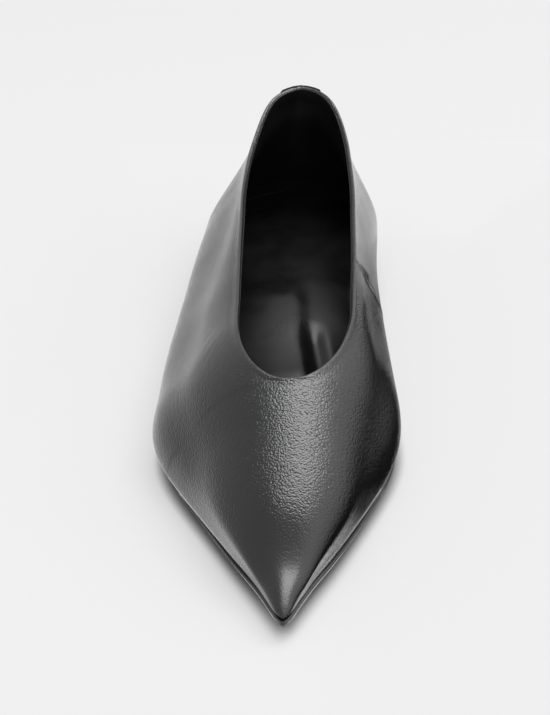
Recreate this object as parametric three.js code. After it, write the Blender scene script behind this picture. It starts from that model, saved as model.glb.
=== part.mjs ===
// A women's pointed toe flat shoe for the right foot: a high-cut leather upper on a low heel.
// Millimetres, +Z up. The origin is on the floor under the middle of the heel, the toe points
// along -Y, and the big-toe side is +X. The upper is one hollow wall drawn over the shape of a
// last: ribs climb from the feather edge, where the wall meets the sole, to the topline or over
// the crown of the vamp. Every other piece takes its outline from the same last.

import * as THREE from "three";

// The shoe as a whole
const SHOE_LENGTH = 270; // back of the heel to the toe tip, over the upper
const BALL_WIDTH = 85; // across the ball of the upper
const DOME_HEIGHT = 42; // crown of the vamp above the feather edge, at the throat
const HEEL_LIFT = 8; // underside of the sole above the floor, at the heel
const TOE_SPRING = 4.5; // underside of the sole above the floor, at the toe tip

// Wall, sole and linings
const WALL = 1.8; // leather and lining together
const SOLE_THICKNESS = 3;
const SOLE_OVERHANG = 0.6; // sole edge outside the feather edge
const SOLE_BEVEL = 0.9;
const MARGIN_WIDTH = 11; // upper turned in under the foot and cemented to the sole
const MARGIN_TOE_SHARE = 0.5; // widest that the margin gets in the point of the toe
const CAVITY_NOSE = 6; // round end of the hollow in the toe; the tip ahead of it is solid
const CAVITY_DROP = 0.25; // share of its height that the hollow loses over that round end
const FEATHER_ROUND = 0.9;
const FOOT_LIMIT = 0.9; // highest foot of the inner wall, as a share of the widest place's height
const RIM_ROUND = 0.3; // how far the topline bulges, as a share of the wall
const RIM_CORNERS = [0.25, 0.75]; // where it turns, as shares of the way across
const INSOLE_THICKNESS = 2.2;
const INSOLE_ROUND = 0.4;
const INSOLE_END = 0.925; // where it stops, short of the tip, as a share of the length
const GAP = 0.3; // cement line between pieces

// Heel
const HEEL_BREAST = 50; // front face of the heel, from the back of the shoe
const HEEL_INSET = 1.2;
const HEEL_TAPER = 1.3; // how much further in the heel stands at the floor
const TOP_PIECE = 3.2; // rubber wearing piece under the heel block
const BREAST_HOLLOW = 3; // curve of the breast
const BREAST_CLEAR = 0.02; // turns that a station keeps from the breast's corners

// Pieces on the back of the upper
const GRIP_THICKNESS = 0.9; // lining pad inside the heel
const GRIP_REACH = 47; // how far its wings come forward
const GRIP_SLANT = 0.18; // share of that reach lost at the foot of the wings
const GRIP_FOOT = 8; // above the feather edge
const GRIP_BELOW_TOPLINE = 4.5;
const TAB_WIDTH = 15; // strip over the back seam
const TAB_THICKNESS = 1.1;
const TAB_LENGTH = 30;
const TAB_ABOVE_TOPLINE = 1.3;

// Places along the shoe, as shares of its length from the heel
const HEEL_ROUND_END = 0.15; // where the round of the heel runs into the sides
const SEAT_END = 0.2; // end of the level heel seat
const TREAD_START = 0.56; // the stretch of sole that lies on the floor
const TREAD_END = 0.72;
const THROAT = 0.717; // front of the opening
const THROAT_NOSE = 0.148; // length of its round front
const CAVITY_END = 0.93; // where the hollow begins to close
const TOE_CAP_START = 0.985; // where the round of the tip begins, from above
const TOE_DROP_START = 0.945; // and from the side
const ORIGIN = 0.1;
const PINCH_REACH = 0.5; // share of the dome over which it narrows
const SPRING_CURVE = 1.7; // how late the toe spring rises

// How far the back of the last leans in from its furthest point
const SEAT_TUCK = 3.2;
const COLLAR_TUCK = 10;
const COLLAR_POINT = 0.5; // how much sharper than an ellipse the back of the opening is

// The last in plan, a row for each section from the heel to the tip. `at` is a share of
// SHOE_LENGTH. Shares of BALL_WIDTH: half-widths of the feather edge on the little-toe side,
// `outside`, and on the big-toe side, `inside`, and how far the wall swells beyond each.
const PLAN = [
  { at: 0, outside: 0.341, inside: 0.341, swellOut: 0.053, swellIn: 0.053 },
  { at: 0.04, outside: 0.344, inside: 0.34, swellOut: 0.053, swellIn: 0.053 },
  { at: 0.07, outside: 0.346, inside: 0.339, swellOut: 0.053, swellIn: 0.053 },
  { at: 0.1, outside: 0.348, inside: 0.338, swellOut: 0.053, swellIn: 0.054 },
  { at: 0.15, outside: 0.352, inside: 0.333, swellOut: 0.054, swellIn: 0.056 },
  { at: 0.215, outside: 0.365, inside: 0.318, swellOut: 0.061, swellIn: 0.064 },
  { at: 0.3, outside: 0.386, inside: 0.301, swellOut: 0.068, swellIn: 0.078 },
  { at: 0.4, outside: 0.424, inside: 0.313, swellOut: 0.066, swellIn: 0.084 },
  { at: 0.5, outside: 0.465, inside: 0.355, swellOut: 0.059, swellIn: 0.068 },
  { at: 0.58, outside: 0.489, inside: 0.406, swellOut: 0.052, swellIn: 0.042 },
  { at: 0.64, outside: 0.494, inside: 0.42, swellOut: 0.051, swellIn: 0.035 },
  { at: 0.69, outside: 0.454, inside: 0.395, swellOut: 0.054, swellIn: 0.035 },
  { at: 0.76, outside: 0.356, inside: 0.321, swellOut: 0.044, swellIn: 0.031 },
  { at: 0.85, outside: 0.222, inside: 0.208, swellOut: 0.026, swellIn: 0.018 },
  { at: 0.89, outside: 0.162, inside: 0.153, swellOut: 0.018, swellIn: 0.013 },
  { at: 0.925, outside: 0.108, inside: 0.102, swellOut: 0.012, swellIn: 0.009 },
  { at: 0.95, outside: 0.074, inside: 0.071, swellOut: 0.008, swellIn: 0.007 },
  { at: 0.97, outside: 0.049, inside: 0.047, swellOut: 0.007, swellIn: 0.006 },
  { at: 1, outside: 0.015, inside: 0.015, swellOut: 0.005, swellIn: 0.005 },
];

// The same sections in height. Shares of DOME_HEIGHT above the feather edge: `widest`, where
// the wall stands furthest out, and `top`, the topline behind the opening's round front and the
// crown of the vamp ahead of it. `pinch` narrows the upper part from a plain ellipse, and fills
// it out where it is below zero. Shares of BALL_WIDTH: `lean` of the top to the big-toe side,
// and `mouth`, half-width of the opening.
const PROFILE = [
  { at: 0, widest: 0.12, top: 1.207, pinch: 0.3, lean: 0.048, mouth: 0.224 },
  { at: 0.04, widest: 0.12, top: 1.171, pinch: 0.3, lean: 0.048, mouth: 0.224 },
  { at: 0.07, widest: 0.125, top: 1.088, pinch: 0.3, lean: 0.048, mouth: 0.222 },
  { at: 0.1, widest: 0.13, top: 1.005, pinch: 0.3, lean: 0.046, mouth: 0.222 },
  { at: 0.15, widest: 0.14, top: 0.919, pinch: 0.3, lean: 0.041, mouth: 0.231 },
  { at: 0.215, widest: 0.17, top: 0.871, pinch: 0.28, lean: 0.039, mouth: 0.246 },
  { at: 0.3, widest: 0.2, top: 0.891, pinch: 0.24, lean: 0.04, mouth: 0.248 },
  { at: 0.4, widest: 0.24, top: 0.962, pinch: 0.18, lean: 0.041, mouth: 0.247 },
  { at: 0.5, widest: 0.26, top: 1.03, pinch: 0.15, lean: 0.041, mouth: 0.242 },
  { at: 0.58, widest: 0.24, top: 1.06, pinch: 0.14, lean: 0.039, mouth: 0.238 },
  { at: 0.64, widest: 0.22, top: 1.125, pinch: 0.13, lean: 0.033, mouth: 0.235 },
  { at: 0.69, widest: 0.19, top: 1.09, pinch: 0.12, lean: 0.026, mouth: 0.235 },
  { at: 0.76, widest: 0.15, top: 0.908, pinch: 0.07, lean: 0.021, mouth: 0.235 },
  { at: 0.85, widest: 0.12, top: 0.619, pinch: -0.12, lean: 0.014, mouth: 0.235 },
  { at: 0.89, widest: 0.105, top: 0.463, pinch: -0.16, lean: 0.009, mouth: 0.235 },
  { at: 0.925, widest: 0.08, top: 0.292, pinch: -0.18, lean: 0.006, mouth: 0.235 },
  { at: 0.95, widest: 0.05, top: 0.197, pinch: -0.15, lean: 0.004, mouth: 0.235 },
  { at: 0.97, widest: 0.035, top: 0.158, pinch: -0.1, lean: 0.001, mouth: 0.235 },
  { at: 1, widest: 0.02, top: 0.085, pinch: 0, lean: 0, mouth: 0.235 },
];

// Facets
const HEEL_STEPS = 9;
const SIDE_STEPS = 8;
const NOSE_STEPS = 8;
const VAMP_STEPS = 10;
const TOE_STEPS = 3;
const TIP_STEPS = 4;
const LOWER_STEPS = 3;
const UPPER_STEPS = 8;
const BREAST_STEPS = 8;
const GRIP_COLUMNS = 9; // on each side of the back seam
const GRIP_ROWS = 6;
const TAB_COLUMNS = 3;
const TAB_ROWS = 6;

const SMALL = 1e-3;
const NO_SIZE = 1e-6;
const NO_AREA = 1e-5;
const HALVINGS = 40; // halvings of a span that close in on a place
const OUTSIDE = -1; // little-toe side
const INSIDE = 1; // big-toe side

// A smooth curve through one column of a table: a natural cubic spline.
function column(rows, name) {
  const count = rows.length;
  const x = rows.map((row) => row.at);
  const y = rows.map((row) => row[name]);
  const bend = new Array(count).fill(0);
  const work = new Array(count).fill(0);
  for (let i = 1; i < count - 1; i++) {
    const part = (x[i] - x[i - 1]) / (x[i + 1] - x[i - 1]);
    const pivot = part * bend[i - 1] + 2;
    const turn = (y[i + 1] - y[i]) / (x[i + 1] - x[i]) - (y[i] - y[i - 1]) / (x[i] - x[i - 1]);
    bend[i] = (part - 1) / pivot;
    work[i] = ((6 * turn) / (x[i + 1] - x[i - 1]) - part * work[i - 1]) / pivot;
  }
  for (let i = count - 2; i >= 0; i--) bend[i] = bend[i] * bend[i + 1] + work[i];
  return (at) => {
    let i = 0;
    while (i < count - 2 && at > x[i + 1]) i++;
    const span = x[i + 1] - x[i];
    const a = (x[i + 1] - at) / span;
    const b = 1 - a;
    const curve = ((a ** 3 - a) * bend[i] + (b ** 3 - b) * bend[i + 1]) * (span ** 2 / 6);
    return a * y[i] + b * y[i + 1] + curve;
  };
}

const last = {};
for (const rows of [PLAN, PROFILE]) {
  for (const name of Object.keys(rows[0])) last[name] = column(rows, name);
}

const clamp = THREE.MathUtils.clamp;
const ease = (x) => 0.5 - 0.5 * Math.cos(Math.PI * clamp(x, 0, 1));

// Underside of the upper above the floor: level at the seat and the tread, with the arch
// between them and the toe spring ahead.
function featherHeight(at) {
  const seat = 1 - ease((at - SEAT_END) / (TREAD_START - SEAT_END));
  const spring = clamp((at - TREAD_END) / (1 - TREAD_END), 0, 1) ** SPRING_CURVE;
  return SOLE_THICKNESS + GAP + HEEL_LIFT * seat + TOE_SPRING * spring;
}

// Half-width of the opening, round at the throat.
function mouth(at) {
  const nose = clamp((THROAT - at) / THROAT_NOSE, 0, 1);
  if (nose < NO_SIZE) return 0;
  return BALL_WIDTH * last.mouth(at) * Math.sqrt(nose * (2 - nose));
}

// Half-width at which a section has its full height. It fades out gently towards the throat,
// so that the sides run on into the vamp without a ridge.
function topHalf(at) {
  return BALL_WIDTH * last.mouth(at) * ease((THROAT - at) / THROAT_NOSE);
}

// A place round the shoe: `turn` runs from 0 at the back seam to 1 where the heel's round ends,
// to 2 where the toe cap starts and to 3 at the tip. Past either end it is on the other side.
function station(side, turn) {
  if (turn < 0) return station(-side, -turn);
  if (turn > 3) return station(-side, 6 - turn);
  if (turn <= 1) {
    const angle = (turn * Math.PI) / 2;
    return { side, at: HEEL_ROUND_END * (1 - Math.cos(angle)), round: Math.sin(angle) };
  }
  if (turn <= 2) {
    const at = HEEL_ROUND_END + (turn - 1) * (TOE_CAP_START - HEEL_ROUND_END);
    return { side, at, round: 1 };
  }
  const angle = ((turn - 2) * Math.PI) / 2;
  const at = TOE_CAP_START + (1 - TOE_CAP_START) * Math.sin(angle);
  return { side, at, round: Math.cos(angle) };
}

function shareAt(y) {
  return ORIGIN - y / SHOE_LENGTH;
}

function turnAt(at) {
  return 1 + (at - HEEL_ROUND_END) / (TOE_CAP_START - HEEL_ROUND_END);
}

// Half-width of the section at a height angle, 0 at the widest place and a right angle at the
// crown.
function domeWidth(widest, pinch, angle) {
  const climb = THREE.MathUtils.smoothstep(Math.sin(angle), 0, PINCH_REACH);
  return widest * Math.cos(angle) * (1 - pinch * climb);
}

// Height angle at which the section is as narrow as the opening.
function mouthAngle(widest, pinch, half) {
  if (half <= 0) return Math.PI / 2;
  let low = 0;
  let high = Math.PI / 2;
  for (let i = 0; i < HALVINGS; i++) {
    const middle = (low + high) / 2;
    if (domeWidth(widest, pinch, middle) > half) low = middle;
    else high = middle;
  }
  return low;
}

function section(place) {
  const { side, at } = place;
  const out = side === OUTSIDE;
  const feather = BALL_WIDTH * (out ? last.outside(at) : last.inside(at));
  const swell = BALL_WIDTH * (out ? last.swellOut(at) : last.swellIn(at));
  const widest = feather + swell;
  const pinch = last.pinch(at);
  const full = Math.sin(mouthAngle(widest, pinch, topHalf(at)));
  const drop = clamp((at - TOE_DROP_START) / (1 - TOE_DROP_START), 0, 1);
  const height = DOME_HEIGHT * (last.top(at) - last.widest(at)) * Math.sqrt(1 - drop ** 2);
  return {
    feather,
    widest,
    pinch,
    topAngle: mouthAngle(widest, pinch, mouth(at)),
    bottom: featherHeight(at),
    rise: DOME_HEIGHT * last.widest(at),
    dome: height / full,
    lean: (BALL_WIDTH * last.lean(at)) / full,
  };
}

// Where a rib ends: 2 on the crown of the vamp, less at the topline.
function ribEnd(place) {
  return 1 + section(place).topAngle / (Math.PI / 2);
}

// A point of the outer surface. `rib` runs from 0 at the feather edge to 1 at the widest place
// and 2 at the crown, and past the crown it comes down the other side.
function lastPoint(side, turn, rib) {
  if (rib > 2) return lastPoint(-side, turn, 4 - rib);
  const place = station(side, turn);
  const cut = section(place);
  const lower = rib < 1;
  const angle = lower ? 0 : ((rib - 1) * Math.PI) / 2;
  const under = lower ? (1 - rib) ** 2 : 0;
  const width = lower
    ? cut.widest - (cut.widest - cut.feather) * under
    : domeWidth(cut.widest, cut.pinch, angle);
  const height = lower ? cut.rise * rib : cut.rise + cut.dome * Math.sin(angle);
  const climb = Math.sin(angle) ** 2;
  const tuck = SEAT_TUCK * under + COLLAR_TUCK * climb;
  const fromRound = clamp(1 - place.at / HEEL_ROUND_END, 0, 1);
  const along = SHOE_LENGTH * place.at + tuck * fromRound;
  const half = width * place.round ** (1 + COLLAR_POINT * climb);
  const across = cut.lean * Math.sin(angle) + place.side * half;
  return new THREE.Vector3(across, SHOE_LENGTH * ORIGIN - along, cut.bottom + height);
}

// Outward normal of the last, from its neighbours.
function sideNormal(side, turn, rib) {
  const before = lastPoint(side, turn - SMALL, rib);
  const after = lastPoint(side, turn + SMALL, rib);
  const below = lastPoint(side, turn, Math.max(rib - SMALL, 0));
  const above = lastPoint(side, turn, rib + SMALL);
  const normal = after.sub(before).cross(above.sub(below)).normalize();
  return side === INSIDE ? normal.negate() : normal;
}

// On the crown both sides count, so that they meet.
function lastNormal(side, turn, rib) {
  const normal = sideNormal(side, turn, rib);
  if (rib < 2 - SMALL) return normal;
  return normal.add(sideNormal(-side, turn, rib)).normalize();
}

function wallPoint(side, turn, rib, offset) {
  return lastPoint(side, turn, rib).addScaledVector(lastNormal(side, turn, rib), offset);
}

// The feather edge seen from above, moved inwards by an inset.
function footprint(side, turn, inset) {
  const point = lastPoint(side, turn, 0);
  const before = lastPoint(side, turn - SMALL, 0);
  const after = lastPoint(side, turn + SMALL, 0);
  const inwards = new THREE.Vector3(before.y - after.y, after.x - before.x, 0).normalize();
  if (side === INSIDE) inwards.negate();
  point.addScaledVector(inwards, inset);
  return { x: point.x, y: point.y, at: shareAt(point.y) };
}

function onSole(spot, above) {
  return new THREE.Vector3(spot.x, spot.y, featherHeight(spot.at) + above);
}

// Stations after one turn up to another; `packed` crowds them towards the far end as a round
// front needs.
function spread(from, to, steps, packed = false) {
  const turns = [];
  for (let i = 1; i <= steps; i++) {
    const share = i / steps;
    turns.push(from + (to - from) * (packed ? Math.sin((share * Math.PI) / 2) : share));
  }
  return turns;
}

const noseTurn = turnAt(THROAT - THROAT_NOSE);
const throatTurn = turnAt(THROAT);
const cavityTurn = turnAt(CAVITY_END);
const RING = [
  0,
  ...spread(0, 1, HEEL_STEPS),
  ...spread(1, noseTurn, SIDE_STEPS),
  ...spread(noseTurn, throatTurn, NOSE_STEPS, true),
  ...spread(throatTurn, cavityTurn, VAMP_STEPS),
  ...spread(cavityTurn, 2, TOE_STEPS),
  ...spread(2, 3, TIP_STEPS),
];
const throatIndex = RING.indexOf(throatTurn);

// Collects faces, and leaves out those that have shrunk to a line.
class Skin {
  constructor() {
    this.corners = [];
  }

  triangle(a, b, c) {
    const area = b.clone().sub(a).cross(c.clone().sub(a)).length();
    if (area > NO_AREA) this.corners.push(a, b, c);
  }

  quad(a, b, c, d) {
    this.triangle(a, b, c);
    this.triangle(a, c, d);
  }

  // A strip of faces between each row of points and the next, split the short way. The last
  // strip is split upwards, so that two sides can end on one line without sharing a face.
  sheet(rows, turned = false) {
    for (let i = 0; i + 1 < rows.length; i++) {
      const ends = i + 2 === rows.length;
      for (let k = 0; k + 1 < rows[i].length; k++) {
        const low = [rows[i][k], rows[i + 1][k]];
        const high = [rows[i][k + 1], rows[i + 1][k + 1]];
        const rising = ends || low[0].distanceTo(high[1]) <= low[1].distanceTo(high[0]);
        const around = rising
          ? [low[0], low[1], high[1], high[0]]
          : [low[1], high[1], high[0], low[0]];
        if (turned) [around[1], around[3]] = [around[3], around[1]];
        this.quad(...around);
      }
    }
  }

  // A flat end, unless its two sides lie on each other.
  cap(points) {
    if (points[0].distanceTo(points.at(-1)) < SMALL) return;
    for (let k = 1; k + 1 < points.length; k++) this.triangle(points[0], points[k], points[k + 1]);
  }

  geometry() {
    return new THREE.BufferGeometry().setFromPoints(this.corners);
  }
}

// A solid from closed sections of equal count, with its ends capped.
function sectionSolid(sections) {
  const skin = new Skin();
  skin.sheet(sections.map((points) => [...points, points[0]]), true);
  skin.cap([...sections[0]].reverse());
  skin.cap(sections.at(-1));
  return skin.geometry();
}

// Shares of a rib from its foot to its end, as rib values.
function ribSteps(foot, end) {
  const ribs = [];
  for (let k = 0; k <= LOWER_STEPS; k++) ribs.push(foot + ((1 - foot) * k) / LOWER_STEPS);
  for (let k = 1; k <= UPPER_STEPS; k++) ribs.push(1 + ((end - 1) * k) / UPPER_STEPS);
  return ribs;
}

// Closes the hollow of the toe: past the start of its round end, a place is drawn from there
// towards the middle of both sides.
function closed(side, turn, placeAt) {
  if (turn <= cavityTurn) return placeAt(side, turn);
  const angle = (((turn - cavityTurn) / (3 - cavityTurn)) * Math.PI) / 2;
  const forward = Math.sin(angle);
  const spot = placeAt(side, cavityTurn);
  const middle = placeAt(-side, cavityTurn).add(spot).multiplyScalar(0.5);
  const climb = Math.max(middle.z - featherHeight(CAVITY_END) - WALL, 0);
  const height = (point) => featherHeight(shareAt(point.y));
  const start = THREE.MathUtils.lerp(height(spot), height(middle), forward);
  spot.x *= Math.cos(angle);
  spot.y += (middle.y - spot.y - CAVITY_NOSE) * forward;
  spot.z += (middle.z - spot.z - CAVITY_DROP * climb) * forward;
  spot.z += height(spot) - start;
  return spot;
}

// Outer and inner rows of the upper at one place, from the margin's edge to the rib's end.
function upperRows(side, turn) {
  const place = station(side, turn);
  const { feather, rise } = section(place);
  const round = turn === 3 ? 0 : Math.min(FEATHER_ROUND, feather * place.round);
  const outer = [closed(side, turn, (part, t) => onSole(marginEdge(part, t), 0))];
  outer.push(onSole(footprint(side, turn, round), 0));
  for (const rib of ribSteps(FEATHER_ROUND / rise, ribEnd(place))) {
    outer.push(wallPoint(side, turn, rib, 0));
  }
  const corner = (part, t) => onSole(footprint(part, t, WALL + FEATHER_ROUND), WALL);
  const inner = [closed(side, turn, (part, t) => onSole(marginEdge(part, t), WALL))];
  inner.push(closed(side, turn, corner));
  const within = station(side, Math.min(turn, cavityTurn));
  const foot = Math.min((WALL + FEATHER_ROUND) / section(within).rise, FOOT_LIMIT);
  for (const rib of ribSteps(foot, ribEnd(within))) {
    inner.push(closed(side, turn, (part, t) => wallPoint(part, t, rib, -WALL)));
  }
  return { outer, inner };
}

// Inner edge of the margin, which narrows towards the toe.
function marginEdge(side, turn) {
  const half = section(station(side, turn)).feather;
  return footprint(side, turn, Math.min(MARGIN_WIDTH, MARGIN_TOE_SHARE * half));
}

// The rounded edge of the topline, one row for each station of the opening.
function toplineRows(outerLoop, innerLoop) {
  const count = outerLoop.length;
  return outerLoop.map((outer, i) => {
    const inner = innerLoop[i];
    const next = outerLoop[(i + 1) % count];
    const previous = outerLoop[(i + count - 1) % count];
    const along = next.clone().sub(previous).normalize();
    const across = inner.clone().sub(outer);
    const up = across.clone().cross(along).normalize();
    const rise = RIM_ROUND * across.length();
    const row = [outer];
    for (const share of RIM_CORNERS) {
      row.push(outer.clone().addScaledVector(across, share).addScaledVector(up, rise));
    }
    row.push(inner);
    return row;
  });
}

function upper() {
  const skin = new Skin();
  const ends = {};
  for (const side of [OUTSIDE, INSIDE]) {
    const rows = RING.map((turn) => upperRows(side, turn));
    const turned = side === INSIDE;
    skin.sheet(rows.map((row) => row.outer), turned);
    skin.sheet(rows.map((row) => row.inner), !turned);
    skin.sheet(rows.map((row) => [row.inner[0], row.outer[0]]), turned);
    const open = rows.slice(0, throatIndex + 1);
    ends[side] = open.map((row) => [row.outer.at(-1), row.inner.at(-1)]);
  }
  const loop = [...ends[INSIDE], ...ends[OUTSIDE].slice(1, -1).reverse()];
  const rim = toplineRows(loop.map((pair) => pair[0]), loop.map((pair) => pair[1]));
  skin.sheet([...rim, rim[0]], true);
  return skin.geometry();
}

// Closed sections across the sole at each station, from the tip to the back.
function soleSections(turns, layers) {
  return turns.map((turn) => {
    const left = layers.map(({ inset, above }) => onSole(footprint(OUTSIDE, turn, inset), above));
    const right = layers.map(({ inset, above }) => onSole(footprint(INSIDE, turn, inset), above));
    return [...left, ...right.reverse()];
  });
}

function outsole() {
  const top = -GAP;
  const bottom = -GAP - SOLE_THICKNESS;
  return sectionSolid(
    soleSections(RING, [
      { inset: -SOLE_OVERHANG, above: top },
      { inset: -SOLE_OVERHANG, above: (top + bottom) / 2 },
      { inset: SOLE_BEVEL, above: bottom },
    ]),
  );
}

function insole() {
  const inset = WALL + FEATHER_ROUND + GAP;
  const bottom = WALL + GAP;
  const turns = RING.filter((turn) => turn < turnAt(INSOLE_END));
  return sectionSolid(
    soleSections(
      [...turns, turnAt(INSOLE_END)],
      [
        { inset, above: bottom },
        { inset, above: bottom + INSOLE_THICKNESS - INSOLE_ROUND },
        { inset: inset + INSOLE_ROUND, above: bottom + INSOLE_THICKNESS },
      ].reverse(),
    ),
  );
}

// Outline of the heel at one level: round the back, then across the hollow breast.
function heelOutline(inset) {
  const breastTurn = turnAt(HEEL_BREAST / SHOE_LENGTH);
  const turns = [...RING.filter((turn) => turn < breastTurn - BREAST_CLEAR), breastTurn];
  const right = turns.map((turn) => footprint(INSIDE, turn, inset));
  const left = turns.slice(1).map((turn) => footprint(OUTSIDE, turn, inset));
  const from = right.at(-1);
  const to = left.at(-1);
  const breast = [];
  for (let k = 1; k < BREAST_STEPS; k++) {
    const share = k / BREAST_STEPS;
    const hollow = BREAST_HOLLOW * 4 * share * (1 - share);
    breast.push({ x: from.x + (to.x - from.x) * share, y: from.y + (to.y - from.y) * share + hollow });
  }
  return [...right, ...breast, ...left.reverse()].reverse();
}

// A solid between two outlines of equal count, at two heights.
function heelLift(lowInset, low, highInset, high) {
  const below = heelOutline(lowInset).map(({ x, y }) => new THREE.Vector3(x, y, low));
  const above = heelOutline(highInset).map(({ x, y }) => new THREE.Vector3(x, y, high));
  const skin = new Skin();
  skin.sheet([[...below, below[0]], [...above, above[0]]], true);
  const flat = below.map(({ x, y }) => new THREE.Vector2(x, y));
  for (const [a, b, c] of THREE.ShapeUtils.triangulateShape(flat, [])) {
    skin.triangle(below[a], below[c], below[b]);
    skin.triangle(above[a], above[b], above[c]);
  }
  return skin.geometry();
}

function heelInset(height) {
  return HEEL_INSET + HEEL_TAPER * (1 - height / HEEL_LIFT);
}

function heelPiece(low, high) {
  return heelLift(heelInset(low), low, heelInset(high), high);
}

// Rib value at a height above the feather edge.
function ribAtHeight(place, height) {
  const { rise, dome } = section(place);
  if (height < rise) return height / rise;
  return 1 + Math.asin(Math.min((height - rise) / dome, 1)) / (Math.PI / 2);
}

function topHeight(place) {
  return DOME_HEIGHT * last.top(place.at);
}

// A slab along the wall, from two grids of points: `near` the foot and `far` from it.
function slab(near, far) {
  const skin = new Skin();
  skin.sheet(near);
  skin.sheet(far, true);
  skin.sheet([near[0], far[0]], true);
  skin.sheet([near.at(-1), far.at(-1)]);
  skin.sheet(near.map((row, i) => [row[0], far[i][0]]), true);
  skin.sheet(near.map((row, i) => [row.at(-1), far[i].at(-1)]));
  return skin.geometry();
}

// Points on a surface beside the wall, for a share across from -1 to 1 and a height share.
function backGrid(columns, rows, place, offset) {
  const grid = [];
  for (let i = -columns; i <= columns; i++) {
    const line = [];
    for (let k = 0; k <= rows; k++) line.push(place(i / columns, k / rows, offset));
    grid.push(line);
  }
  return grid;
}

function gripPoint(across, up, offset) {
  const side = across < 0 ? OUTSIDE : INSIDE;
  const reach = turnAt(GRIP_REACH / SHOE_LENGTH);
  const turn = Math.abs(across) * reach * (1 - GRIP_SLANT * (1 - up));
  const spot = station(side, turn);
  const height = GRIP_FOOT + (topHeight(spot) - GRIP_BELOW_TOPLINE - GRIP_FOOT) * up;
  return wallPoint(side, turn, ribAtHeight(spot, height), offset);
}

function heelGrip() {
  const near = backGrid(GRIP_COLUMNS, GRIP_ROWS, gripPoint, -WALL - GAP - GRIP_THICKNESS);
  const far = backGrid(GRIP_COLUMNS, GRIP_ROWS, gripPoint, -WALL - GAP);
  return slab(near, far);
}

// A place on the back of the upper at a distance from the back seam and below the topline.
function tabPoint(across, up, offset) {
  const side = across < 0 ? OUTSIDE : INSIDE;
  const drop = TAB_LENGTH - (TAB_LENGTH + TAB_ABOVE_TOPLINE) * up;
  const heightAt = (turn) => topHeight(station(side, turn)) - drop;
  const pointAt = (turn, out) => wallPoint(side, turn, ribAtHeight(station(side, turn), heightAt(turn)), out);
  const middle = pointAt(0, 0).x;
  let low = 0;
  let high = 1;
  for (let i = 0; i < HALVINGS; i++) {
    const turn = (low + high) / 2;
    if (Math.abs(pointAt(turn, 0).x - middle) < (Math.abs(across) * TAB_WIDTH) / 2) low = turn;
    else high = turn;
  }
  return pointAt(across === 0 ? 0 : low, offset);
}

function backTab() {
  const near = backGrid(TAB_COLUMNS, TAB_ROWS, tabPoint, GAP);
  const far = backGrid(TAB_COLUMNS, TAB_ROWS, tabPoint, GAP + TAB_THICKNESS);
  return slab(near, far);
}

function material(name, color, roughness) {
  const made = new THREE.MeshStandardMaterial({ color, roughness, metalness: 0 });
  made.name = name;
  return made;
}

const leather = material("upper_leather", 0x1b1b1c, 0.4);
const lining = material("lining_leather", 0x141414, 0.55);
const sock = material("insole_leather", 0x131313, 0.45);
const sole = material("sole", 0x161514, 0.6);
const rubber = material("top_piece_rubber", 0x101010, 0.8);

const pieces = [
  ["upper", upper(), leather],
  ["outsole", outsole(), sole],
  ["heel", heelPiece(TOP_PIECE + GAP, HEEL_LIFT - GAP), sole],
  ["top_piece", heelPiece(0, TOP_PIECE), rubber],
  ["insole", insole(), sock],
  ["heel_grip", heelGrip(), lining],
  ["back_tab", backTab(), leather],
];

const group = new THREE.Group();
group.name = "pointed_toe_flat";
for (const [name, geometry, look] of pieces) {
  const mesh = new THREE.Mesh(geometry, look);
  mesh.name = name;
  group.add(mesh);
}

export default group;
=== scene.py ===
# %% [markdown]
# # A black leather pointed flat
#
# The CAD model gives the shoe its true shape: a hollow upper, a leather sole, a low heel and the
# pieces inside. This lesson gives it the look of the real thing. The upper becomes smooth
# leather with a folded topline, seams, creases and a fine grain, and the rest gets sole leather,
# rubber, lining and thread. Each step says what the piece is, how it could be made, and why this
# way was chosen.
#
# The shoe stands in metres with its heel over the origin. The toe points along -Y, the big-toe
# side is +X, and the floor is at z = 0. The numbers below are millimetres where nothing else is
# said, and MM turns them into metres.

import math

import bmesh
import bpy
import numpy as np
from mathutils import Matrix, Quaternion, Vector
from mathutils.kdtree import KDTree


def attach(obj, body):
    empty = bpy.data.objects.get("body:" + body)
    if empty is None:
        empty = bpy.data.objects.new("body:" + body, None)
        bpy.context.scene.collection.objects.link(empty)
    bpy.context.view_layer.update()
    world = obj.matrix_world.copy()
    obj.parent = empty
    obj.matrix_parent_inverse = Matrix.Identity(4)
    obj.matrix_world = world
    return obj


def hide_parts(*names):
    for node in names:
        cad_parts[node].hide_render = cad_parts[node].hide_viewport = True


MM = 0.001
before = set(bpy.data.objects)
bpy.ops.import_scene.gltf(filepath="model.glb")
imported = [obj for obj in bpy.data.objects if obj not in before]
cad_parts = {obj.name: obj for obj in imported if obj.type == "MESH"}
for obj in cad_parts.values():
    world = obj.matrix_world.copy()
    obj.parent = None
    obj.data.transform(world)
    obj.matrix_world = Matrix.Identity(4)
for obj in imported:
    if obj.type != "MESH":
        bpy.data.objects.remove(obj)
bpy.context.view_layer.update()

# %% [markdown]
# ## Camera
#
# The photograph looks down on the toe from the front, about thirty-two degrees above the floor.
# A long lens keeps the toe from growing too large next to the heel. The camera could be turned
# by three angles, but a point to look at and a small roll are easier to read.

# %% Camera
CAMERA_PLACE = Vector((25.3, -797.3, 444.9)) * MM
CAMERA_AIM = Vector((-4.8, -109.5, 20.0)) * MM
CAMERA_ROLL = math.radians(2.5)
SENSOR_WIDTH = 36
FOCAL_LENGTH = 149.9

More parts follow.
